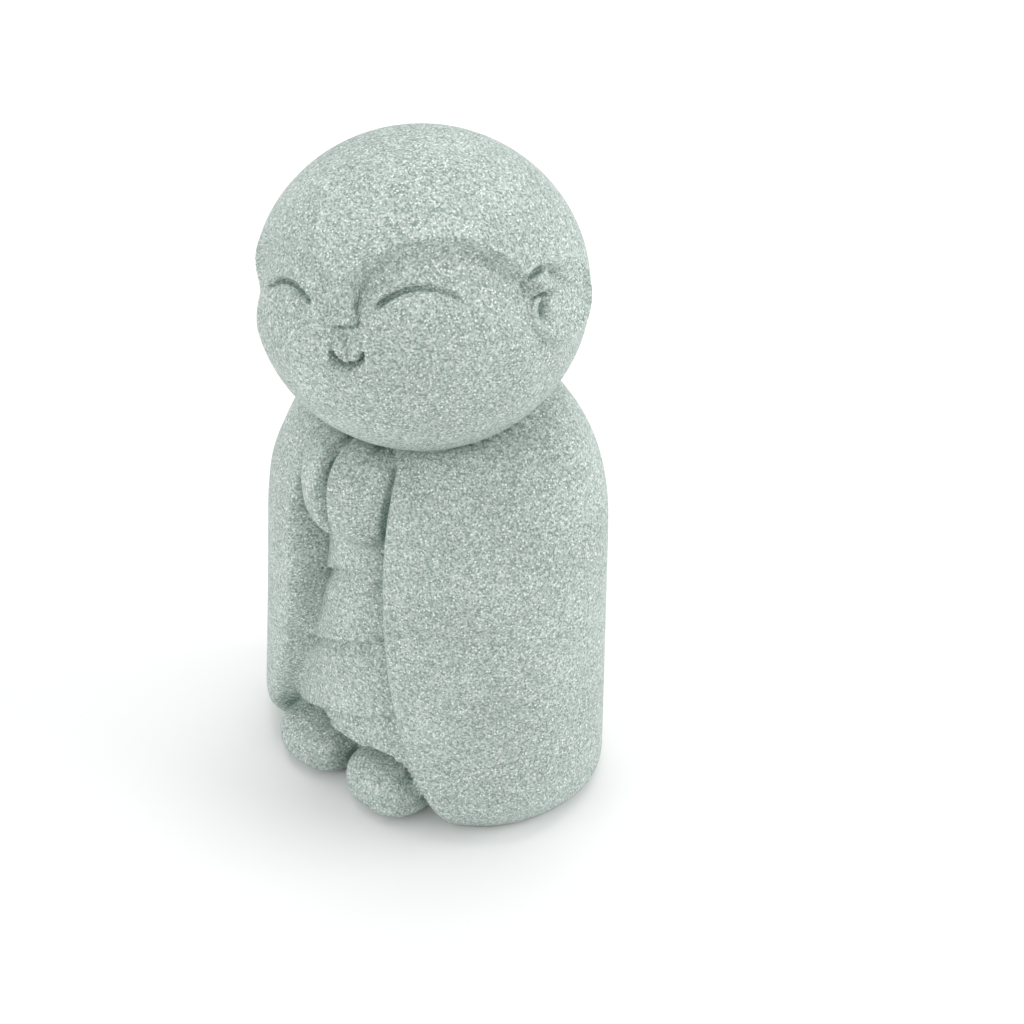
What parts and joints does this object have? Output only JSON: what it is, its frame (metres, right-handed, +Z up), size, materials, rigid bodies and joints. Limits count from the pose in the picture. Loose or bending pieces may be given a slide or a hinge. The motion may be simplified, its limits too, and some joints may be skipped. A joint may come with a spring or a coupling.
{
  "type": "stone jizo statue",
  "caption": "Small cast stone jizo figure: round smiling head tilted aside, palms together, long-sleeved cloak over a tiered robe, toes under the hem, flat underside.",
  "frame": {"origin": "point on the flat underside below the middle of the cloak's outline, where the statue meets the surface it stands on", "axes": "+Z up, the robe's opening, hands and feet face -Y, the statue's own left side is on +X; the head is turned toward +X and leans toward -X"},
  "size_m": [0.0336, 0.0269, 0.06],
  "materials": {
    "stone": "matt, fine grey-green granite-like grain"
  },
  "bodies": {
    "root": {"jizo_statue": "stone"}
  },
  "joints": []
}
